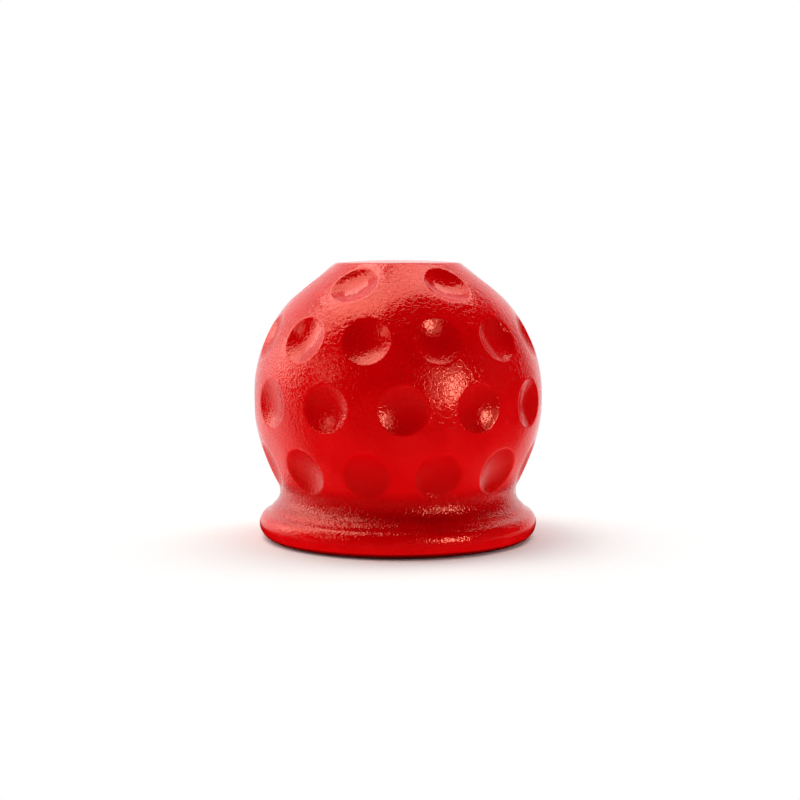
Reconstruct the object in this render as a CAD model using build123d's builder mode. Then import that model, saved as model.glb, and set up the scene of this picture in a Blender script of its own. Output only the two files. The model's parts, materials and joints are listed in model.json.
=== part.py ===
from build123d import *

import os
from math import cos, radians, sin, sqrt, tan

# Tow ball cover, moulded in one piece from soft PVC: a dimpled ball with a flat top, on a rolled flange.
# It stands on its flange, with the base face at height 0 and its axis along Z.
# Lengths are in millimetres and angles in degrees. A latitude is counted up from the ball's equator.

# Socket for the tow ball, and the throat and mouth below it
TOW_BALL_DIAMETER = 50.0
SOCKET_CLEARANCE = 0.1
THROAT_GRIP = 3.0
MOUTH_HEIGHT = 8.0
MOUTH_FLARE = 2.4
MOUTH_CHAMFER = 0.6

# Ball and its flat top, down to the latitude where the flank leaves the ball
WALL = 6.9
CENTRE_HEIGHT = 31.2
TOP_WALL = 4.5
TOP_CROWN = 0.6
TOP_EDGE_ROUND = 1.0
SHOULDER_LATITUDE = 53.5
FLANK_LATITUDE = -9.4

# Waist and flange, both inset from the ball's side
WAIST_INSET = 6.9
WAIST_ROUND = 4.0
FLANGE_INSET = 1.0
FLANGE_HEIGHT = 4.6
FLANGE_SLOPE = 40.0
FLANGE_TAPER = 6.0
FLANGE_EDGE_ROUND = 1.8
FOOT_ROUND = 3.2

# Dimples, in rows from the lowest up, each row staggered against the next
DIMPLE_DIAMETER = 10.4
DIMPLE_DEPTH = 1.6
ROW_LATITUDES = (-22.1, -0.3, 25.7, 51.7)
ROW_COUNTS = (12, 12, 12, 6)

# Radii and heights that follow from the sizes above
socket_radius = TOW_BALL_DIAMETER / 2 + SOCKET_CLEARANCE
throat_radius = socket_radius - THROAT_GRIP
throat_drop = sqrt(socket_radius**2 - throat_radius**2)
body_radius = socket_radius + WALL
waist_radius = body_radius - WAIST_INSET
flange_radius = body_radius - FLANGE_INSET
waist_height = FLANGE_HEIGHT + (flange_radius - waist_radius) * tan(radians(FLANGE_SLOPE))
top_height = CENTRE_HEIGHT + socket_radius + TOP_WALL


def on_circle(middle, radius, latitude):
    """Point of a circle in the section at a latitude, as radius and height."""
    angle = radians(latitude)
    return middle[0] + radius * cos(angle), middle[1] + radius * sin(angle)


# Corners of the half section, as radius and height, before they are rounded
centre = (0, CENTRE_HEIGHT)
crown = (0, top_height + TOP_CROWN)
shoulder = on_circle(centre, body_radius, SHOULDER_LATITUDE)
top_edge = (shoulder[0] - (top_height - shoulder[1]) * tan(radians(SHOULDER_LATITUDE)), top_height)
ball_foot = on_circle(centre, body_radius, FLANK_LATITUDE)
waist = (waist_radius, waist_height)
flange_edge = (flange_radius, FLANGE_HEIGHT)
foot = (flange_radius - FLANGE_HEIGHT * tan(radians(FLANGE_TAPER)), 0)
mouth = (throat_radius + MOUTH_FLARE, 0)
throat_foot = (throat_radius, MOUTH_HEIGHT)
throat_head = (throat_radius, CENTRE_HEIGHT - throat_drop)
socket_side = (socket_radius, CENTRE_HEIGHT)
socket_head = (0, CENTRE_HEIGHT + socket_radius)

# The flank is the arc that leaves the ball smoothly and ends at the waist
flank_inset = ball_foot[0] - waist[0]
flank_drop = ball_foot[1] - waist[1]
flank_lean = flank_inset * cos(radians(FLANK_LATITUDE)) + flank_drop * sin(radians(FLANK_LATITUDE))
flank_radius = (flank_inset**2 + flank_drop**2) / (2 * flank_lean)
flank_centre = on_circle(ball_foot, -flank_radius, FLANK_LATITUDE)

# A dimple's cutter is the cap of a ball, which stands proud of the cover by half the dimple's depth
rim_radius = DIMPLE_DIAMETER / 2
rim_cap = body_radius - sqrt(body_radius**2 - rim_radius**2)
hollow = DIMPLE_DEPTH - rim_cap
cutter_radius = (rim_radius**2 + hollow**2) / (2 * hollow)
cutter_standoff = cutter_radius - DIMPLE_DEPTH
cutter_height = DIMPLE_DEPTH + DIMPLE_DEPTH / 2


def cutter_place(latitude):
    """Middle of a cutter's ball over the skin that faces a latitude, on the flank or the ball."""
    if latitude < FLANK_LATITUDE:
        return on_circle(flank_centre, flank_radius + cutter_standoff, latitude)
    return on_circle(centre, body_radius + cutter_standoff, latitude)


with BuildPart() as dimple_cutter:
    Sphere(cutter_radius)
    split(bisect_by=Plane.YZ.offset(cutter_height - cutter_radius), keep=Keep.BOTTOM)

with BuildPart() as ball_cover:
    # Half section, turned about the axis
    with BuildSketch(Plane.XZ) as section:
        with BuildLine():
            TangentArc(crown, top_edge, tangent=(1, 0))
            Line(top_edge, shoulder)
            ball = CenterArc(centre, body_radius, SHOULDER_LATITUDE, FLANK_LATITUDE - SHOULDER_LATITUDE)
            TangentArc(ball_foot, waist, tangent=ball % 1)
            Polyline(waist, flange_edge, foot, mouth, throat_foot, throat_head)
            ThreePointArc(throat_head, socket_side, socket_head)
            Line(socket_head, crown)
        make_face()
        chamfer(section.vertices().sort_by_distance(mouth)[0], MOUTH_CHAMFER)
        rounded_corners = (
            (top_edge, TOP_EDGE_ROUND),
            (waist, WAIST_ROUND),
            (flange_edge, FLANGE_EDGE_ROUND),
            (foot, FOOT_ROUND),
        )
        for corner, radius in rounded_corners:
            fillet(section.vertices().sort_by_distance(corner)[0], radius)
    revolve(axis=Axis.Z)

    # Dimples, each square to the skin
    for row, (latitude, count) in enumerate(zip(ROW_LATITUDES, ROW_COUNTS)):
        row_radius, row_height = cutter_place(latitude)
        stagger = (row + 1) % 2 * 180 / count
        with Locations((0, 0, row_height)):
            with PolarLocations(row_radius, count, stagger):
                add(dimple_cutter.part, rotation=(0, -latitude, 0), mode=Mode.SUBTRACT)

ball_cover.part.label = "ball_cover"
os.makedirs("parts", exist_ok=True)
export_step(ball_cover.part, "parts/ball_cover.step")
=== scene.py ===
"""Dresses a tow ball cover: a soft PVC cap with a dimpled ball, a flat top and a rolled flange.

The cover stands on its flange at height 0, with its axis along Z and its front towards -Y.
Lengths are in metres and angles in degrees. A latitude is counted up from the ball's equator.
"""

import json
import logging
from collections.abc import Callable
from dataclasses import dataclass, field
from enum import Enum

import bpy
import numpy as np
from mathutils import Matrix, Vector


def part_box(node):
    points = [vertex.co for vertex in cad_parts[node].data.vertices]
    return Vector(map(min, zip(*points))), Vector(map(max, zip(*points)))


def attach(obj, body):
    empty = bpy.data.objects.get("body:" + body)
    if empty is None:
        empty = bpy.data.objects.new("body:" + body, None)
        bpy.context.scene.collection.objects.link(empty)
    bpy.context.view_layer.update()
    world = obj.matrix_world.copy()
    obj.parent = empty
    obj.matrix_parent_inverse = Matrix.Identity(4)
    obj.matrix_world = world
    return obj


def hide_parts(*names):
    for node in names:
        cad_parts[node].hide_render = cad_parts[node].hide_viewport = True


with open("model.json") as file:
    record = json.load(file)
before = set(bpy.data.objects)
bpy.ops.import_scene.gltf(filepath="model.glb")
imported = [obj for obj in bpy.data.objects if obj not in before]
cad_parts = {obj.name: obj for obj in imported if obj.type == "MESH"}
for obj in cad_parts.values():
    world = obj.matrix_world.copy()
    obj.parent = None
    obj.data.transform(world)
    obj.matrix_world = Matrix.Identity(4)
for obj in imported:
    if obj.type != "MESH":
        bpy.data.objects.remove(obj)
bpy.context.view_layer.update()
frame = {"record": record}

Array = np.ndarray
Point = tuple[float, float, float]
Colour = tuple[float, float, float, float]

NODE = "ball_cover"
MM_PER_METRE = 1000
ARC_STEPS = 33
LONG_ARC_STEPS = 129
LEAST_SINE = 1e-9
NOISE_MIDDLE = (0.5, 0.5, 0.5)
PLACE_PREFIX = "in_"
WHITE = (1.0, 1.0, 1.0, 1.0)
PLAIN = (1.0, 1.0, 1.0)
WARM = (1.0, 0.95, 0.90)

log = logging.getLogger("scene")


class Zone(Enum):
    """Stretch of the section, in order from the middle of the top to the head of the socket.

    Each has its row pitch, in metres, the shares that it shows of the mould's leathery cracks and waves and
    of its fine grain, and the share of painted shade, a deeper red, that darkens it in the crease under the
    ball and on the flange's slope.
    """

    TOP = (0.0014, 0.6, 3.0, 0.1, 0.0)
    TOP_EDGE = (0.00025, 0.4, 2.0, 0.1, 0.0)
    SHOULDER = (0.00045, 0.6, 3.0, 0.1, 0.0)
    BALL_HEAD = (0.00043, 0.7, 3.0, 0.2, 0.0)
    BALL = (0.00043, 0.8, 1.4, 1.2, 0.0)
    FLANK = (0.00043, 0.5, 1.2, 0.9, 0.0)
    # FLANK_FOOT, WAIST_HEAD, WAIST and SLOPE take painted shade: a deeper red for the crease under the ball
    # and its slope.
    FLANK_FOOT = (0.00043, 0.3, 0.4, 0.8, 1.0)
    WAIST_HEAD = (0.00043, 0.1, 0.0, 1.0, 0.8)
    WAIST = (0.00043, 0.0, 0.0, 1.0, 0.9)
    SLOPE = (0.0003, 0.0, 0.0, 1.0, 0.15)
    LIP = (0.0003, 0.0, 0.0, 0.7, 0.0)
    SIDE = (0.0006, 0.0, 0.0, 0.5, 0.0)
    FOOT = (0.00045, 0.0, 0.0, 0.12, 0.0)
    BASE = (0.0008, 0.0, 0.0, 0.12, 0.0)
    MOUTH = (0.0012, 0.0, 0.0, 0.1, 0.0)
    THROAT = (0.0016, 0.0, 0.0, 0.08, 0.0)
    SOCKET = (0.0021, 0.0, 0.0, 0.08, 0.0)

    def __init__(self, row_pitch: float, cracks: float, waves: float, grain: float, hollow: float) -> None:
        """Names the five values.

        Args:
            row_pitch: The distance between two rows of the grid, in metres.
            cracks: The share of the leathery cracks.
            waves: The share of the leathery waves.
            grain: The share of the fine grain.
            hollow: The share of painted shade, a deeper red.
        """
        self.row_pitch = row_pitch
        self.cracks = cracks
        self.waves = waves
        self.grain = grain
        self.hollow = hollow


def unit(vector: Array) -> Array:
    """Vector of length one along another."""
    return vector / np.linalg.norm(vector, axis=-1, keepdims=True)


def swept(centre: Array, first: Array, last: Array, steps: int = ARC_STEPS) -> Array:
    """Arc about a centre, whose spokes turn evenly from one point to another.

    With t the turn between the two end spokes, the spoke at a share s of the way is
    (sin((1 - s) * t) * first + sin(s * t) * last) / sin(t).

    Args:
        centre: The arc's centre, as radius and height.
        first: The arc's first point.
        last: The arc's last point, as far from the centre.
        steps: The number of points on the arc.

    Returns:
        The arc's points.
    """
    turn = np.arccos(np.clip(unit(first - centre) @ unit(last - centre), -1, 1))
    share = np.linspace(0, 1, steps)[:, None]
    spokes = np.sin((1 - share) * turn) * (first - centre) + np.sin(share * turn) * (last - centre)
    return centre + spokes / np.sin(turn)


def rounded(before: Array, corner: Array, after: Array, radius: float) -> Array:
    """Arc that rounds a corner between two straight runs.

    The arc leaves the runs at radius over the tangent of half the corner's angle, and its centre is on the
    corner's bisector, at radius over the sine of that half angle.

    Args:
        before: A point on the run into the corner, as radius and height.
        corner: The corner.
        after: A point on the run out of it.
        radius: The arc's radius.

    Returns:
        The arc's points, from the first run to the second.
    """
    back = unit(before - corner)
    onward = unit(after - corner)
    half = np.arccos(np.clip(back @ onward, -1, 1)) / 2
    centre = corner + radius / np.sin(half) * unit(back + onward)
    reach = radius / np.tan(half)
    return swept(centre, corner + reach * back, corner + reach * onward)


def walked(line: Array, pitch: float) -> Array:
    """Points at equal steps along a line, about a pitch apart, found on its running length.

    Args:
        line: The line's points, as radius and height.
        pitch: The distance wanted between two points.

    Returns:
        The points, with both ends of the line.
    """
    lengths = np.linalg.norm(np.diff(line, axis=0), axis=1)
    run = np.concatenate(([0.0], np.cumsum(lengths)))
    steps = max(1, round(run[-1] / pitch))
    at = np.linspace(0, run[-1], steps + 1)
    return np.stack([np.interp(at, run, line[:, axis]) for axis in (0, 1)], axis=1)


def eased(values: list[float], rows: int) -> Array:
    """Values along the rows, each the mean of those within a number of rows of it."""
    padded = np.pad(np.array(values), rows, mode="edge")
    return np.convolve(padded, np.full(2 * rows + 1, 1 / (2 * rows + 1)), mode="valid")


@dataclass(frozen=True)
class Section:
    """Half section of the cover, as radius and height, with every corner rounded."""

    centre_height: float
    top_height: float
    throat_radius: float
    throat_foot_height: float
    throat_head_height: float
    socket_radius: float
    ball_radius: float = 0.032
    top_crown: float = 0.0006
    top_edge_round: float = 0.001
    shoulder_latitude: float = 53.5
    head_latitude: float = 24.0
    flank_latitude: float = -9.4
    flank_foot_share: float = 0.06
    waist_radius: float = 0.0251
    waist_round: float = 0.004
    flange_radius: float = 0.031
    flange_height: float = 0.0046
    flange_slope: float = 40.0
    flange_taper: float = 6.0
    flange_edge_round: float = 0.003
    slope_sag: float = 0.00018
    foot_round: float = 0.0032
    mouth_flare: float = 0.0024
    mouth_round: float = 0.0008
    throat_round: float = 0.0012

    @property
    def centre(self) -> Array:
        """The ball's centre."""
        return np.array([0.0, self.centre_height])

    @property
    def lip(self) -> Array:
        """Corner of the flange's slope and its side."""
        return np.array([self.flange_radius, self.flange_height])

    @property
    def waist(self) -> Array:
        """Corner of the flank and the flange's slope."""
        rise = (self.flange_radius - self.waist_radius) * np.tan(np.radians(self.flange_slope))
        return np.array([self.waist_radius, self.flange_height + rise])

    def on_ball(self, radius: float, latitude: Array) -> Array:
        """Points of a circle about the ball's centre, at latitudes in degrees."""
        angle = np.radians(latitude)
        return self.centre + radius * np.stack([np.cos(angle), np.sin(angle)], axis=-1)

    def flank_circle(self) -> tuple[Array, float]:
        """Circle of the flank, which leaves the ball smoothly and passes through the waist's corner.

        With d the way from the ball's foot to the waist and n the ball's outward way at its foot, its radius
        is -(d . d) / (2 n . d), and its centre lies that far inwards of the foot.

        Returns:
            The circle's centre and its radius.
        """
        foot = self.on_ball(self.ball_radius, np.array(self.flank_latitude))
        outward = unit(foot - self.centre)
        way = self.waist - foot
        radius = -(way @ way) / (2 * outward @ way)
        return foot - radius * outward, radius

    def waist_arc(self) -> Array:
        """Arc that rounds the waist's corner, between the flank's circle and the flange's slope.

        Its centre is off the slope's line by the arc's radius, and off the flank's centre by the sum of both
        radii. With w the way from the flank's centre to the line beside the slope, and u the way up that
        line, it lies at s = -w . u - sqrt((w . u) squared - w . w + the sum squared) along it.

        Returns:
            The arc's points, from the flank to the slope.
        """
        flank_centre, flank_radius = self.flank_circle()
        up = unit(self.waist - self.lip)
        off = np.array([up[1], -up[0]]) * self.waist_round
        both = flank_radius + self.waist_round
        way = self.lip + off - flank_centre
        along = way @ up
        centre = self.lip + off - up * (along + np.sqrt(along**2 - way @ way + both**2))
        touch = flank_centre + (centre - flank_centre) * flank_radius / both
        return swept(centre, touch, centre - off)

    def sagged(self, first: Array, last: Array) -> Array:
        """Flange's slope, a straight run that sags by sag * sin(pi * s) squared at a share s of its way.

        Args:
            first: The slope's upper end, as radius and height.
            last: Its lower end.

        Returns:
            The slope's points.
        """
        share = np.linspace(0, 1, ARC_STEPS)[:, None]
        way = last - first
        outward = unit(np.array([-way[1], way[0]]))
        return first + share * way - self.slope_sag * np.sin(np.pi * share) ** 2 * outward

    def facing(self, latitude: float, proud: float) -> Array:
        """Point proud of the skin that faces a latitude, on the flank or on the ball.

        Args:
            latitude: The latitude that the skin faces, in degrees.
            proud: The point's distance off the skin.

        Returns:
            The point, as radius and height.
        """
        if latitude >= self.flank_latitude:
            return self.on_ball(self.ball_radius + proud, np.array(latitude))
        centre, radius = self.flank_circle()
        angle = np.radians(latitude)
        return centre + (radius + proud) * np.array([np.cos(angle), np.sin(angle)])

    def stretches(self) -> list[tuple[Zone, Array]]:
        """The section as lines, one for each zone.

        The top is a shallow parabola. The ball, the flank and the socket are arcs. The other zones are
        straight runs, of which the flange's slope sags a little, and the arcs that round their corners.

        Returns:
            Each zone with its points, in the order of Zone.
        """
        shoulder = self.on_ball(self.ball_radius, np.array(self.shoulder_latitude))
        edge_height = self.top_height - self.top_crown
        lean = np.tan(np.radians(self.shoulder_latitude))
        top_edge = np.array([shoulder[0] - (edge_height - shoulder[1]) * lean, edge_height])
        lip = self.lip
        taper = np.tan(np.radians(self.flange_taper))
        foot = np.array([self.flange_radius - self.flange_height * taper, 0.0])
        mouth = np.array([self.throat_radius + self.mouth_flare, 0.0])
        throat_foot = np.array([self.throat_radius, self.throat_foot_height])
        throat_head = np.array([self.throat_radius, self.throat_head_height])

        # A parabola ends with twice the fall of a straight run to its rim
        fall = np.array([top_edge[0], -2 * self.top_crown])
        edge_arc = rounded(top_edge - fall, top_edge, shoulder, self.top_edge_round)
        waist_arc = self.waist_arc()
        lip_arc = rounded(self.waist, lip, foot, self.flange_edge_round)
        foot_arc = rounded(lip, foot, mouth, self.foot_round)
        mouth_arc = rounded(foot, mouth, throat_foot, self.mouth_round)
        throat_arc = rounded(mouth, throat_foot, throat_head, self.throat_round)

        reach = np.linspace(0, edge_arc[0, 0], ARC_STEPS)
        top = np.stack([reach, self.top_height - self.top_crown * (reach / top_edge[0]) ** 2], axis=1)
        head_latitudes = np.linspace(self.shoulder_latitude, self.head_latitude, LONG_ARC_STEPS)
        ball_latitudes = np.linspace(self.head_latitude, self.flank_latitude, LONG_ARC_STEPS)
        ball = self.on_ball(self.ball_radius, ball_latitudes)
        flank = swept(self.flank_circle()[0], ball[-1], waist_arc[0], LONG_ARC_STEPS)
        flank_foot = round(len(flank) * (1 - self.flank_foot_share))
        waist_middle = len(waist_arc) // 2
        socket_floor = -np.degrees(np.arccos(self.throat_radius / self.socket_radius))
        socket_latitudes = np.linspace(socket_floor, 90, LONG_ARC_STEPS)
        socket = self.on_ball(self.socket_radius, socket_latitudes)
        socket[-1, 0] = 0.0
        return [
            (Zone.TOP, top),
            (Zone.TOP_EDGE, edge_arc),
            (Zone.SHOULDER, np.stack([edge_arc[-1], shoulder])),
            (Zone.BALL_HEAD, self.on_ball(self.ball_radius, head_latitudes)),
            (Zone.BALL, ball),
            (Zone.FLANK, flank[: flank_foot + 1]),
            (Zone.FLANK_FOOT, flank[flank_foot:]),
            (Zone.WAIST_HEAD, waist_arc[: waist_middle + 1]),
            (Zone.WAIST, waist_arc[waist_middle:]),
            (Zone.SLOPE, self.sagged(waist_arc[-1], lip_arc[0])),
            (Zone.LIP, lip_arc),
            (Zone.SIDE, np.stack([lip_arc[-1], foot_arc[0]])),
            (Zone.FOOT, foot_arc),
            (Zone.BASE, np.stack([foot_arc[-1], mouth_arc[0]])),
            (Zone.MOUTH, np.concatenate([mouth_arc, throat_arc])),
            (Zone.THROAT, np.stack([throat_arc[-1], throat_head])),
            (Zone.SOCKET, socket),
        ]

    def rows(self) -> tuple[Array, list[Zone]]:
        """The section cut into rows of the grid.

        Returns:
            The rows' points, and the zone of each.
        """
        points: list[Array] = []
        zones: list[Zone] = []
        for zone, line in self.stretches():
            steps = walked(line, zone.row_pitch)
            steps = steps[1:] if zones else steps
            points.append(steps)
            zones += [zone] * len(steps)
        return np.concatenate(points), zones


@dataclass(frozen=True)
class Dimples:
    """Rows of round dimples, each the cap of a ball pressed square into the cover, with a rounded rim."""

    diameter: float = 0.0104
    depth: float = 0.0016
    row_latitudes: tuple[float, ...] = (-22.1, -0.3, 25.7, 51.7)
    row_counts: tuple[int, ...] = (12, 12, 12, 6)
    rim_softness: float = 0.00011
    rim_gather: float = 0.62
    rim_gather_width: float = 1.7
    grain_kept: float = 0.55
    # Painted shade in the dimples, by row from the bottom: a deeper red, strongest in the bottom row and
    # full from a fifth of the depth down.
    row_painted_shades: tuple[float, ...] = (0.65, 0.5, 0.2, 0.0)
    painted_shade_edge: float = 0.2

    def cutter_radius(self, ball_radius: float) -> float:
        """Radius of the cutting ball: (rim squared + hollow squared) / (2 * hollow).

        The hollow is the dimple's depth below the flat of its rim.

        Args:
            ball_radius: The radius of the ball that the dimple is in.

        Returns:
            The cutting ball's radius.
        """
        rim = self.diameter / 2
        hollow = self.depth - (ball_radius - np.sqrt(ball_radius**2 - rim**2))
        return (rim**2 + hollow**2) / (2 * hollow)

    def places(self, section: Section, proud: float) -> Array:
        """Places proud of the dimples' middles, with each row staggered against the next.

        Args:
            section: The cover's section.
            proud: The places' distance off the skin.

        Returns:
            The places, from the ball's centre.
        """
        found = []
        for row, (latitude, count) in enumerate(zip(self.row_latitudes, self.row_counts)):
            radius, height = section.facing(latitude, proud) - section.centre
            stagger = (row + 1) % 2 * np.pi / count
            turn = stagger + np.arange(count) * 2 * np.pi / count
            heights = np.full(count, height)
            found.append(np.stack([radius * np.cos(turn), radius * np.sin(turn), heights], axis=1))
        return np.concatenate(found)

    def gathered(self, rays: Array, section: Section) -> tuple[Array, Array]:
        """Draws the grid's rays towards the nearest dimple's rim, so that the rim gets finer cells.

        A ray at an angle x from the rim moves to x times (1 - gather * exp(-(x / width) squared)), along the
        great circle through the dimple's middle.

        Args:
            rays: Unit vectors from the ball's centre.
            section: The cover's section.

        Returns:
            The moved rays, and the number of each one's dimple.
        """
        middles = unit(self.places(section, 0.0))
        nearness = rays @ middles.T
        dimple = nearness.argmax(axis=-1)
        nearest = middles[dimple]
        angle = np.arccos(np.clip(nearness.max(axis=-1), -1, 1))
        rim = np.arcsin(self.diameter / 2 / section.ball_radius)
        past = angle - rim
        pull = self.rim_gather * np.exp(-((past / np.radians(self.rim_gather_width)) ** 2))
        moved = rim + past * (1 - pull)
        away = rays - nearest * np.cos(angle)[..., None]
        away /= np.maximum(np.sin(angle), LEAST_SINE)[..., None]
        return nearest * np.cos(moved)[..., None] + away * np.sin(moved)[..., None], dimple

    def pressed(self, reach: Array, rays: Array, dimple: Array, section: Section) -> Array:
        """Distance of the skin from the ball's centre once the dimples are pressed in.

        With c the way to the cutting ball's middle, a ray r meets that ball at
        r . c - sqrt(radius squared - c . c + (r . c) squared). The skin is the nearer of that and the plain
        skin, with a smooth minimum that rounds the rim.

        Args:
            reach: The plain skin's distance along each ray.
            rays: Unit vectors from the ball's centre.
            dimple: The number of each ray's dimple.
            section: The cover's section.

        Returns:
            The pressed skin's distance along each ray.
        """
        radius = self.cutter_radius(section.ball_radius)
        cutters = self.places(section, radius - self.depth)[dimple]
        along = (rays * cutters).sum(axis=-1)
        inside = radius**2 - (cutters**2).sum(axis=-1) + along**2
        wall = np.where(inside > 0, along - np.sqrt(np.maximum(inside, 0)), np.inf)
        blend = np.maximum(self.rim_softness - np.abs(reach - wall), 0) / self.rim_softness
        return np.minimum(reach, wall) - blend**2 * self.rim_softness / 4


@dataclass(frozen=True)
class Unevenness:
    """Slow waves that a soft moulding keeps as it cools, as a sum of plane waves in seeded directions."""

    height: float = 0.00003
    longest: float = 0.016
    shortest: float = 0.006
    waves: int = 14
    seed: int = 7

    def at(self, points: Array) -> Array:
        """Height of the waves: the sum of sin(2 pi * direction . point / length + phase), evenly weighted.

        Args:
            points: Places in space, in metres.

        Returns:
            The height at each place, in metres.
        """
        draw = np.random.default_rng(self.seed)
        directions = unit(draw.normal(size=(self.waves, 3)))
        lengths = np.geomspace(self.shortest, self.longest, self.waves)
        phases = draw.uniform(0, 2 * np.pi, self.waves)
        angles = points @ (directions / lengths[:, None]).T * 2 * np.pi + phases
        return self.height * np.sin(angles).sum(axis=-1) / np.sqrt(self.waves)


class Bench:
    """Node tree being wired, with short ways to add and join nodes."""

    def __init__(self, tree: bpy.types.NodeTree) -> None:
        """Starts from an emptied tree."""
        tree.nodes.clear()
        self.tree = tree

    def add(self, kind: str, settings: dict | None = None, **inputs: object) -> bpy.types.Node:
        """Adds a node and fills its inputs.

        Args:
            kind: The node's type, without the word ShaderNode.
            settings: The node's own properties.
            inputs: Values or output sockets by input name, with _ for a blank.

        Returns:
            The node.
        """
        node = self.tree.nodes.new("ShaderNode" + kind)
        for name, value in (settings or {}).items():
            setattr(node, name, value)
        for name, value in inputs.items():
            self.feed(self.socket(node, name), value)
        return node

    def socket(self, node: bpy.types.Node, name: str) -> bpy.types.NodeSocket:
        """Finds an enabled input of a node.

        Args:
            node: The node.
            name: The input's name, with _ for a blank, or the prefix in_ and its place.

        Returns:
            The input.
        """
        if name.startswith(PLACE_PREFIX):
            return node.inputs[int(name.removeprefix(PLACE_PREFIX))]
        wanted = name.replace("_", " ").lower()
        return next(s for s in node.inputs if s.enabled and s.name.lower() == wanted)

    def feed(self, socket: bpy.types.NodeSocket, value: object) -> None:
        """Links an output socket to an input, or sets the input's own value.

        Args:
            socket: The input.
            value: An output socket or a plain value.
        """
        if isinstance(value, bpy.types.NodeSocket):
            self.tree.links.new(value, socket)
        else:
            socket.default_value = value

    def math(self, operation: str, first: object, second: object) -> bpy.types.NodeSocket:
        """Result of a sum on two values or sockets."""
        return self.add("Math", {"operation": operation}, in_0=first, in_1=second).outputs[0]

    def ramp(self, value: object, low: float, high: float, start: float, end: float) -> bpy.types.NodeSocket:
        """Eases a value from one range to another, and holds it at the ends.

        Args:
            value: The value or its socket.
            low: The low end of its range.
            high: The high end.
            start: The result at the low end.
            end: The result at the high end.

        Returns:
            The result's socket.
        """
        settings = {"interpolation_type": "SMOOTHSTEP"}
        ends = {"from_min": low, "from_max": high, "to_min": start, "to_max": end}
        return self.add("MapRange", settings, value=value, **ends).outputs[0]


@dataclass(frozen=True)
class SoftPvc:
    """Glossy soft PVC, red all through, with the leathery grain of its mould."""

    red: Colour = (0.65, 0.0002, 0.0015, 1.0)
    deep_red: Colour = (0.6, 0.0001, 0.0012, 1.0)
    # Painted shade: the deeper red that the hollow attribute mixes in, in the dimples, the crease under the
    # ball and the slope.
    painted_shade_red: Colour = (0.48, 0.0001, 0.001, 1.0)
    mottle_pitch: float = 0.006
    mottle_detail: float = 3.0
    tint_range: tuple[float, float] = (0.35, 0.65)
    dull_range: tuple[float, float] = (0.3, 0.7)
    roughness: float = 0.08
    dull_roughness: float = 0.11
    wrinkle_pitch: float = 0.0012
    crack_width: float = 0.11
    crack_depth: float = 0.000022
    wave_pitch: float = 0.0011
    wave_height: float = 0.00005
    wave_detail: float = 1.0
    fine_pitch: float = 0.0004
    fine_height: float = 0.00014
    fine_detail: float = 0.0
    bend_pitch: float = 0.0016
    bend: float = 0.0006
    bend_detail: float = 1.0
    ior: float = 1.5
    gloss_level: float = 1.0
    gloss_tint: Colour = (1.0, 0.33, 0.23, 1.0)

    def build(self) -> bpy.types.Material:
        """The finish as a material.

        The leathery grain is a web of cracks, the edges of cells whose places are bent by a slow noise, over
        a wavy noise. The fine grain is a noise alone. The piece's cracks, waves and grain attributes say how
        much of each shows, and its hollow attribute where shade is painted in as a deeper red.

        Returns:
            The material.
        """
        material = bpy.data.materials.new("red_soft_pvc")
        material.use_nodes = True
        bench = Bench(material.node_tree)
        place = bench.add("TexCoord").outputs["Object"]
        grain = bench.add("Attribute", {"attribute_name": "grain"}).outputs["Fac"]
        cracks = bench.add("Attribute", {"attribute_name": "cracks"}).outputs["Fac"]
        waves = bench.add("Attribute", {"attribute_name": "waves"}).outputs["Fac"]
        # The hollow attribute is the share of painted shade.
        hollow = bench.add("Attribute", {"attribute_name": "hollow"}).outputs["Fac"]

        bending = bench.add("TexNoise", vector=place, scale=1 / self.bend_pitch, detail=self.bend_detail)
        bent = bending.outputs["Color"]
        centred = bench.add("VectorMath", {"operation": "SUBTRACT"}, in_0=bent, in_1=NOISE_MIDDLE).outputs[0]
        swing = bench.add("VectorMath", {"operation": "SCALE"}, in_0=centred, scale=2 * self.bend).outputs[0]
        moved = bench.add("VectorMath", {"operation": "ADD"}, in_0=place, in_1=swing).outputs[0]
        edges = {"feature": "DISTANCE_TO_EDGE"}
        cells = bench.add("TexVoronoi", edges, vector=moved, scale=1 / self.wrinkle_pitch)
        plateau = bench.ramp(cells.outputs["Distance"], 0.0, self.crack_width, 0.0, self.crack_depth)
        waving = bench.add("TexNoise", vector=moved, scale=1 / self.wave_pitch, detail=self.wave_detail)
        wavy = waving.outputs[0]
        graining = bench.add("TexNoise", vector=place, scale=1 / self.fine_pitch, detail=self.fine_detail)
        fine = graining.outputs[0]
        crack_part = bench.math("MULTIPLY", plateau, cracks)
        wave_part = bench.math("MULTIPLY", bench.math("MULTIPLY", wavy, self.wave_height), waves)
        fine_part = bench.math("MULTIPLY", bench.math("MULTIPLY", fine, self.fine_height), grain)
        height = bench.math("ADD", bench.math("ADD", crack_part, wave_part), fine_part)
        bump = bench.add("Bump", strength=1.0, distance=1.0, height=height)

        mottling = {"scale": 1 / self.mottle_pitch, "detail": self.mottle_detail}
        mottle = bench.add("TexNoise", vector=place, **mottling).outputs[0]
        tint = bench.ramp(mottle, *self.tint_range, 0.0, 1.0)
        colours = {"data_type": "RGBA"}
        plain = bench.add("Mix", colours, factor=tint, a=self.deep_red, b=self.red).outputs[2]
        # Painted shade: the red is mixed towards a deeper red by the hollow attribute.
        colour = bench.add("Mix", colours, factor=hollow, a=plain, b=self.painted_shade_red).outputs[2]
        dull = bench.ramp(mottle, *self.dull_range, self.roughness, self.dull_roughness)
        skin = bench.add(
            "BsdfPrincipled",
            base_color=colour,
            roughness=dull,
            normal=bump.outputs[0],
            ior=self.ior,
            specular_ior_level=self.gloss_level,
            specular_tint=self.gloss_tint,
        )
        bench.add("OutputMaterial", surface=skin.outputs[0])
        return material


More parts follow.
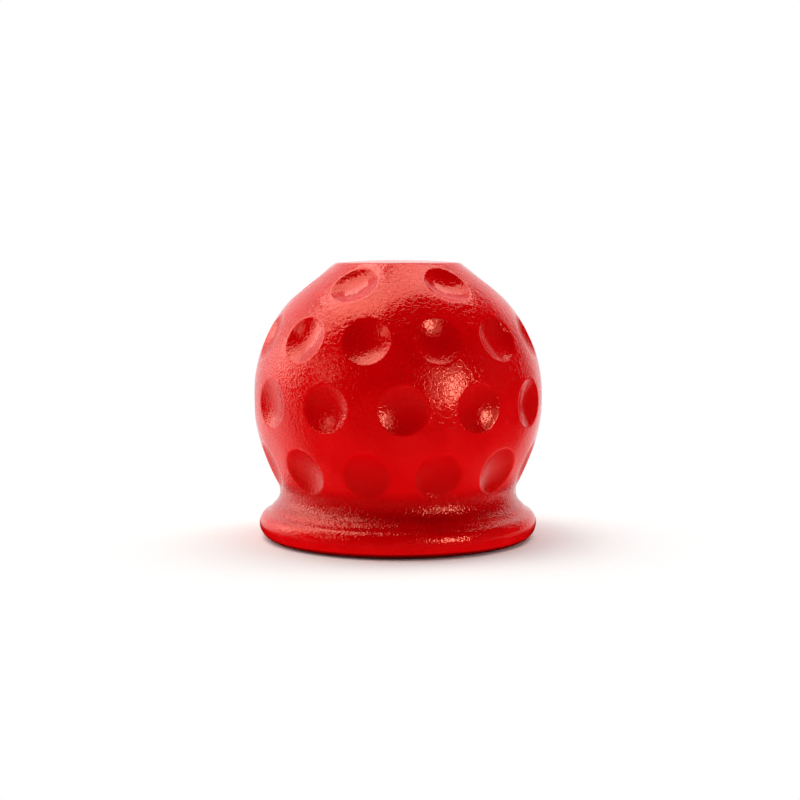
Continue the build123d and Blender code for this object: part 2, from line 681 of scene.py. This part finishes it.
@dataclass
class BallCover:
    """The cover as one surface: the section's rows turned about the axis, with the dimples pressed in."""

    section: Section
    dimples: Dimples = field(default_factory=Dimples)
    unevenness: Unevenness = field(default_factory=Unevenness)
    finish: SoftPvc = field(default_factory=SoftPvc)
    columns: int = 408
    grain_ease: int = 7
    leather_ease: int = 3
    painted_shade_ease: int = 2
    even_height: float = 0.002
    worn_turn: float = -65.0
    worn_share: float = 0.35

    def unworn(self, turn: Array) -> Array:
        """Share of the waves left, which grows with the sine of half the turn from the worn side."""
        round_share = np.sqrt((1 - np.cos(turn - np.radians(self.worn_turn))) / 2)
        return self.worn_share + (1 - self.worn_share) * round_share

    def skin(self) -> tuple[Array, dict[str, Array]]:
        """Points of the surface and the values that its finish reads, over rows and columns.

        A row's point is (radius * cos(turn), radius * sin(turn), height). On the rows that the dimples cut,
        its ray from the ball's centre is drawn to the nearest rim, and the skin's distance along the ray,
        read from the section by latitude, is pressed in by the dimples. Slow waves are then added along
        the ray. The values are eased along the rows. In the dimples less of the grain shows, and shade is
        painted in as a deeper red, most in the bottom row.

        Returns:
            The points, shaped rows by columns by three, and each named value, shaped rows by columns.
        """
        rows, zones = self.section.rows()
        order = list(Zone)
        places = np.array([order.index(zone) for zone in zones])
        cut = (places >= order.index(Zone.TOP_EDGE)) & (places <= order.index(Zone.WAIST_HEAD))
        centre = np.array([0.0, 0.0, self.section.centre_height])
        turn = np.arange(self.columns) * 2 * np.pi / self.columns
        points = np.empty((len(rows), self.columns, 3))
        points[..., 0] = rows[:, :1] * np.cos(turn)
        points[..., 1] = rows[:, :1] * np.sin(turn)
        points[..., 2] = rows[:, 1:]
        unworn = self.unworn(turn)
        leather = eased([min(zone.waves, 1.0) for zone in zones], self.leather_ease)[:, None]
        cracks = eased([zone.cracks for zone in zones], self.grain_ease)[:, None]
        wave_share = eased([zone.waves for zone in zones], self.grain_ease)[:, None]
        grain = eased([zone.grain for zone in zones], self.grain_ease)[:, None]
        # Painted shade by zone, for the crease under the ball and the slope.
        hollow = eased([zone.hollow for zone in zones], self.painted_shade_ease)[:, None]
        values = {
            "cracks": np.repeat(cracks, self.columns, axis=1),
            "waves": wave_share * unworn,
            "grain": grain * (1 - leather * (1 - unworn**2)),
            "hollow": np.repeat(hollow, self.columns, axis=1),
        }

        outer = rows[: np.flatnonzero(cut)[-1] + 1] - self.section.centre
        latitudes = np.arctan2(outer[:, 1], outer[:, 0])
        reaches = np.linalg.norm(outer, axis=1)
        rays, dimple = self.dimples.gathered(unit(points[cut] - centre), self.section)
        latitude = np.arcsin(np.clip(rays[..., 2], -1, 1))
        plain = np.interp(latitude, latitudes[::-1], reaches[::-1])
        reach = self.dimples.pressed(plain, rays, dimple, self.section)
        points[cut] = centre + rays * reach[..., None]
        sunk = np.clip((plain - reach) / self.dimples.depth, 0, 1)
        # Painted shade in the dimples, strongest in the bottom row.
        row_painted_shade = np.repeat(self.dimples.row_painted_shades, self.dimples.row_counts)[dimple]
        deep = np.minimum(sunk / self.dimples.painted_shade_edge, 1)
        values["hollow"][cut] = np.maximum(values["hollow"][cut], row_painted_shade * deep)
        for name in ("cracks", "waves", "grain"):
            values[name][cut] *= 1 - (1 - self.dimples.grain_kept) * sunk

        waves = self.unevenness.at(points)[..., None] * (rows[:, 1] > self.even_height)[:, None, None]
        return points + unit(points - centre) * waves, values

    def build(self) -> bpy.types.Object:
        """Makes the surface a mesh, with a fan of triangles at each pole, and dresses it.

        Returns:
            The piece, standing in for the node.
        """
        points, values = self.skin()
        rings = len(points) - 2
        vertices = np.concatenate([points[0, :1], points[1:-1].reshape(-1, 3), points[-1, :1]])
        ring = np.arange(self.columns)
        following = np.roll(ring, -1)
        starts = 1 + np.arange(rings - 1)[:, None] * self.columns
        below = starts + self.columns
        quads = np.stack([starts + ring, below + ring, below + following, starts + following], axis=-1)
        last = len(vertices) - 1
        top_fan = np.stack([np.zeros_like(ring), 1 + ring, 1 + following], axis=-1)
        final_ring = last - self.columns
        socket_fan = np.stack([np.full_like(ring, last), final_ring + following, final_ring + ring], axis=-1)
        faces = quads.reshape(-1, 4).tolist() + top_fan.tolist() + socket_fan.tolist()

        mesh = bpy.data.meshes.new("ball_cover_skin")
        mesh.from_pydata(vertices.tolist(), [], faces)
        for name, grid in values.items():
            flat = np.concatenate([grid[0, :1], grid[1:-1].ravel(), grid[-1, :1]]).astype(np.float32)
            mesh.attributes.new(name, "FLOAT", "POINT").data.foreach_set("value", flat)
        mesh.shade_smooth()
        mesh.materials.append(self.finish.build())
        piece = bpy.data.objects.new("ball_cover_skin", mesh)
        bpy.context.scene.collection.objects.link(piece)
        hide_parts(NODE)
        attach(piece, "root")
        return piece


class Lamp(Enum):
    """The studio's soft boxes, by the job that each does."""

    OVERHEAD = "broad sheen on the top"
    SLANTED = "sheen on the right of the top"
    SIDE = "broad sheen on the left"
    FRONT = "small highlight on the right of the front"
    HALO = "faint light round that highlight"
    LEFT = "faint spots in the dimples on the left"
    RIGHT = "plain light that a white wall throws back on the right"
    CEILING = "plain light that a white ceiling throws back on the right of the top"
    FILL = "light that a white table throws up at the front"


@dataclass(frozen=True)
class SoftBox:
    """Rectangular lamp: its middle, the sides that it spans as two vectors, its radiance and its colour.

    It may be kept out of reflections, or out of the light that falls on surfaces.
    """

    lamp: Lamp
    middle: Point
    across: Point
    along: Point
    radiance: float
    warmth: Point = PLAIN
    reflected: bool = True
    shines: bool = True

    def build(self) -> bpy.types.Object:
        """Hangs the lamp, which faces the way of across times along and is hidden from the camera.

        Its power is pi times its area times its radiance.

        Returns:
            The lamp.
        """
        across = Vector(self.across)
        along = Vector(self.along)
        light = bpy.data.lights.new(self.lamp.name.lower() + "_softbox", "AREA")
        light.shape = "RECTANGLE"
        light.size = across.length
        light.size_y = along.length
        light.energy = np.pi * across.length * along.length * self.radiance
        light.color = self.warmth
        lamp = bpy.data.objects.new(light.name, light)
        y_axis = along.normalized()
        z_axis = along.cross(across).normalized()
        x_axis = y_axis.cross(z_axis)
        turned = Matrix((x_axis, y_axis, z_axis)).transposed().to_4x4()
        lamp.matrix_world = Matrix.Translation(self.middle) @ turned
        lamp.visible_camera = False
        lamp.visible_glossy = self.reflected
        lamp.visible_diffuse = self.shines
        bpy.context.scene.collection.objects.link(lamp)
        return lamp


CardShare = Callable[[Bench, object], object]


@dataclass
class Studio:
    """White floor, white surroundings, soft boxes, dark cards and the camera."""

    target_height: float
    boxes: tuple[SoftBox, ...]
    floor_radius: float = 0.5
    floor_sides: int = 96
    floor_colour: Colour = (0.78, 0.78, 0.78, 1.0)
    floor_fade: tuple[float, float] = (0.026, 0.075)
    sky_axis: Point = (-0.25, 0.8, 0.55)
    sky_dim: float = 0.03
    sky_bright: float = 0.8
    card_radius: float = 3.0
    card_azimuth: float = 13.5
    card_half_angle: float = 128.0
    card_full_angle: float = 107.0
    card_first_angle: float = 0.5
    card_rings: int = 40
    card_columns: int = 72
    card_colour: Colour = (0.005, 0.005, 0.005, 1.0)
    floor_card_height: float = 0.0002
    floor_card_ways: tuple[Point, ...] = ((0.0, -1.0, 0.0), (0.77, -0.64, 0.0))
    floor_card_starts: tuple[float, ...] = (-0.01, 0.02)
    floor_card_soft: float = 0.05
    floor_shade: tuple[float, float] = (0.034, 0.056)
    camera_distance: float = 0.352
    camera_elevation: float = 5.18
    camera_azimuth: float = -1.93
    sensor_width: float = 36.0
    nearest_seen: float = 0.01
    focal_pixels: float = 1580.8
    picture_pixels: float = 800.0
    centre_pixel: tuple[float, float] = (397.96, 396.06)

    def seen_directly(self, bench: Bench) -> bpy.types.NodeSocket:
        """Tells what is seen from what only shines.

        Args:
            bench: The bench of the material or the world that asks.

        Returns:
            One for camera, glossy and transmission rays, and nothing for the light that falls on surfaces.
        """
        path = bench.add("LightPath").outputs
        direct = bench.math("MAXIMUM", path["Is Camera Ray"], path["Is Glossy Ray"])
        return bench.math("MAXIMUM", direct, path["Is Transmission Ray"])

    def world(self) -> None:
        """White surroundings where they are seen. Where they only shine, they brighten along an axis."""
        world = bpy.data.worlds.new("studio")
        world.use_nodes = True
        bench = Bench(world.node_tree)
        way = bench.add("TexCoord").outputs["Generated"]
        height = bench.add("VectorMath", {"operation": "DOT_PRODUCT"}, in_0=way, in_1=self.sky_axis)
        sky = bench.ramp(height.outputs["Value"], 0.0, 1.0, self.sky_dim, self.sky_bright)
        strength = bench.add("MapRange", value=self.seen_directly(bench), to_min=sky, to_max=1.0)
        light = bench.add("Background", color=WHITE, strength=strength.outputs[0])
        bench.add("OutputWorld", surface=light.outputs[0])
        bpy.context.scene.world = world

    def floor(self) -> bpy.types.Object:
        """Lays a round pale floor at height 0, which keeps the shadow and is seen as white away from it.

        Returns:
            The floor.
        """
        turn = np.linspace(0, 2 * np.pi, self.floor_sides, endpoint=False)
        rim = np.stack([np.cos(turn), np.sin(turn), np.zeros_like(turn)], axis=1) * self.floor_radius
        mesh = bpy.data.meshes.new("floor")
        mesh.from_pydata(rim.tolist(), [], [list(range(len(rim)))])
        material = bpy.data.materials.new("pale_floor")
        material.use_nodes = True
        bench = Bench(material.node_tree)
        matt = bench.add("BsdfDiffuse", color=self.floor_colour).outputs[0]
        glow = bench.add("Emission", color=WHITE, strength=1.0).outputs[0]
        place = bench.add("TexCoord").outputs["Object"]
        distance = bench.add("VectorMath", {"operation": "LENGTH"}, in_0=place).outputs["Value"]
        away = bench.ramp(distance, *self.floor_fade, 0.0, 1.0)
        white = bench.math("MULTIPLY", away, self.seen_directly(bench))
        both = bench.add("MixShader", fac=white, in_1=matt, in_2=glow)
        bench.add("OutputMaterial", surface=both.outputs[0])
        mesh.materials.append(material)
        floor = bpy.data.objects.new("floor", mesh)
        bpy.context.scene.collection.objects.link(floor)
        return floor

    def veil(self, name: str, mesh: bpy.types.Mesh, cover: CardShare) -> bpy.types.Object:
        """Dark card that only reflections see, with a soft edge.

        Args:
            name: The card's name.
            mesh: Its mesh.
            cover: Gives the share that the card covers, from a bench and the place on the card.

        Returns:
            The card.
        """
        material = bpy.data.materials.new(name)
        material.use_nodes = True
        bench = Bench(material.node_tree)
        place = bench.add("TexCoord").outputs["Object"]
        matt = bench.add("BsdfDiffuse", color=self.card_colour).outputs[0]
        clear = bench.add("BsdfTransparent").outputs[0]
        both = bench.add("MixShader", fac=cover(bench, place), in_1=clear, in_2=matt)
        bench.add("OutputMaterial", surface=both.outputs[0])
        mesh.materials.append(material)
        card = bpy.data.objects.new(name, mesh)
        card.visible_camera = False
        card.visible_diffuse = False
        card.visible_transmission = False
        card.visible_shadow = False
        bpy.context.scene.collection.objects.link(card)
        return card

    def dark_card(self) -> bpy.types.Object:
        """Dark bowl round the front, as the unlit side of a studio.

        A point of the bowl is radius * (cos(tilt) * axis + sin(tilt) * (cos(turn) * side + sin(turn) * up)),
        with the tilt running from the first angle to the half angle. It fades out past the full angle.

        Returns:
            The card.
        """
        azimuth = np.radians(self.card_azimuth)
        axis = np.array([np.sin(azimuth), -np.cos(azimuth), 0.0])
        side = np.array([np.cos(azimuth), np.sin(azimuth), 0.0])
        up = np.array([0.0, 0.0, 1.0])
        tilts = np.linspace(self.card_first_angle, self.card_half_angle, self.card_rings)
        tilt = np.radians(tilts)[:, None, None]
        turn = np.linspace(0, 2 * np.pi, self.card_columns, endpoint=False)[None, :, None]
        points = np.cos(tilt) * axis + np.sin(tilt) * (np.cos(turn) * side + np.sin(turn) * up)
        start = (np.arange(self.card_rings - 1) * self.card_columns)[:, None]
        beyond = start + self.card_columns
        ring = np.arange(self.card_columns)
        following = np.roll(ring, -1)
        quads = np.stack([start + ring, start + following, beyond + following, beyond + ring], axis=-1)
        vertices = (points * self.card_radius).reshape(-1, 3)
        mesh = bpy.data.meshes.new("dark_card")
        mesh.from_pydata(vertices.tolist(), [], quads.reshape(-1, 4).tolist())
        edge = self.card_radius * np.cos(np.radians(self.card_half_angle))
        full = self.card_radius * np.cos(np.radians(self.card_full_angle))

        def cover(bench: Bench, place: object) -> object:
            """Share by the place's depth along the bowl's axis."""
            depth = bench.add("VectorMath", {"operation": "DOT_PRODUCT"}, in_0=place, in_1=axis.tolist())
            return bench.ramp(depth.outputs["Value"], edge, full, 0.0, 1.0)

        return self.veil("dark_card", mesh, cover)

    def floor_card(self) -> bpy.types.Object:
        """Dark sheet just over the floor, at the foot, the front and the right, which fades out past them.

        Returns:
            The card.
        """
        # Painted shade that only reflections see: the sheet darkens the floor as a shadow in a ring at the
        # foot, and as shade at the front and the right.
        span = self.card_radius
        height = self.floor_card_height
        corners = [
            (-span, -span, height),
            (span, -span, height),
            (span, span, height),
            (-span, span, height),
        ]
        mesh = bpy.data.meshes.new("floor_card")
        mesh.from_pydata(corners, [], [[0, 1, 2, 3]])

        def cover(bench: Bench, place: object) -> object:
            """Largest of the shares about the foot and along each way that the sheet runs from the cover.

            Args:
                bench: The card's bench.
                place: The place on the card.

            Returns:
                The share.
            """
            # Painted shadow: the ring about the foot.
            distance = bench.add("VectorMath", {"operation": "LENGTH"}, in_0=place).outputs["Value"]
            share = bench.ramp(distance, *self.floor_shade, 1.0, 0.0)
            for way, start in zip(self.floor_card_ways, self.floor_card_starts):
                depth = bench.add("VectorMath", {"operation": "DOT_PRODUCT"}, in_0=place, in_1=way)
                one = bench.ramp(depth.outputs["Value"], start, start + self.floor_card_soft, 0.0, 1.0)
                share = bench.math("MAXIMUM", share, one)
            return share

        return self.veil("floor_card", mesh, cover)

    def camera(self) -> bpy.types.Object:
        """Sets up the camera on the line that the photograph's view gives, aimed at the ball's centre.

        Its lens and shift follow from the view's focal length and middle, in pixels of the picture.

        Returns:
            The camera.
        """
        azimuth = np.radians(self.camera_azimuth)
        elevation = np.radians(self.camera_elevation)
        flat = np.cos(elevation)
        back = Vector((np.sin(azimuth) * flat, -np.cos(azimuth) * flat, np.sin(elevation)))
        lens = bpy.data.cameras.new("camera")
        lens.sensor_width = self.sensor_width
        lens.lens = lens.sensor_width * self.focal_pixels / self.picture_pixels
        lens.shift_x = 0.5 - self.centre_pixel[0] / self.picture_pixels
        lens.shift_y = self.centre_pixel[1] / self.picture_pixels - 0.5
        lens.clip_start = self.nearest_seen
        camera = bpy.data.objects.new("camera", lens)
        camera.location = Vector((0, 0, self.target_height)) + back * self.camera_distance
        camera.rotation_euler = (-back).to_track_quat("-Z", "Y").to_euler()
        bpy.context.scene.collection.objects.link(camera)
        bpy.context.scene.camera = camera
        return camera

    def build(self) -> None:
        """Sets up the surroundings, the floor, the cards, the lamps and the camera."""
        self.world()
        self.floor()
        self.dark_card()
        self.floor_card()
        for box in self.boxes:
            box.build()
            log.info("soft box %s: %s", box.lamp.name.lower(), box.lamp.value)
        self.camera()
        bpy.context.scene.view_settings.view_transform = "Standard"


def cover_from_frame() -> BallCover:
    """Reads the cover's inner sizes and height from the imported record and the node's box.

    Returns:
        The cover, not yet built.
    """
    mounts = {mount["name"]: mount for mount in frame["record"]["mounts"]}
    throat = mounts["throat"]
    centre_height = mounts["ball_socket"]["pos_m"][2]
    throat_radius = throat["dims"]["r_mm"] / MM_PER_METRE
    half_throat = throat["dims"]["length_mm"] / MM_PER_METRE / 2
    throat_head = throat["pos_m"][2] + half_throat
    section = Section(
        centre_height=centre_height,
        top_height=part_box(NODE)[1].z,
        throat_radius=throat_radius,
        throat_foot_height=throat["pos_m"][2] - half_throat,
        throat_head_height=throat_head,
        socket_radius=float(np.hypot(throat_radius, centre_height - throat_head)),
    )
    return BallCover(section)


def soft_boxes() -> tuple[SoftBox, ...]:
    """Places the soft boxes about the cover, each by its middle, its two sides and its radiance.

    Returns:
        The soft boxes.
    """
    return (
        SoftBox(Lamp.OVERHEAD, (-0.33, 0.1, 0.69), (0.46, 0, 0), (0, -0.59, 0), 3.9, WARM),
        SoftBox(Lamp.SLANTED, (0.18, 0.177, 0.69), (0.673, 0.433, 0), (0.151, -0.235, 0), 2.9, WARM),
        SoftBox(Lamp.SIDE, (-0.70, 0.183, 0.48), (0, 0.43, 0.1293), (0, -0.2135, 0.71), 2.7, WARM),
        SoftBox(Lamp.FRONT, (0.42, -0.45, 0.13), (-0.117, -0.11, 0), (0, 0, 0.18), 10.0, WARM, shines=False),
        SoftBox(Lamp.HALO, (0.41, -0.53, 0.175), (-0.263, -0.245, 0), (0, 0, 0.33), 1.5, WARM, shines=False),
        SoftBox(Lamp.LEFT, (-0.595, -0.31, 0.25), (-0.10, 0.20, 0), (0, 0, 0.24), 2.0, WARM),
        SoftBox(Lamp.RIGHT, (0.55, -0.02, 0.18), (0, -0.4, 0), (0, 0, 0.3), 2.7, reflected=False),
        SoftBox(
            Lamp.CEILING, (0.38, 0.2, 0.58), (-0.163, 0.309, 0), (0.247, 0.131, -0.21), 3.5, reflected=False
        ),
        SoftBox(Lamp.FILL, (-0.1, -0.12, 0.001), (0.5, 0, 0), (0, 0.25, 0), 0.78, reflected=False),
    )


def main() -> None:
    """Builds the cover and the studio, and reports each piece."""
    logging.basicConfig(level=logging.INFO, format="%(name)s: %(message)s")
    cover = cover_from_frame()
    skin = cover.build()
    log.info("%s: %d vertices, %d faces", skin.name, len(skin.data.vertices), len(skin.data.polygons))
    Studio(target_height=cover.section.centre_height, boxes=soft_boxes()).build()


if __name__ == "__main__":
    main()
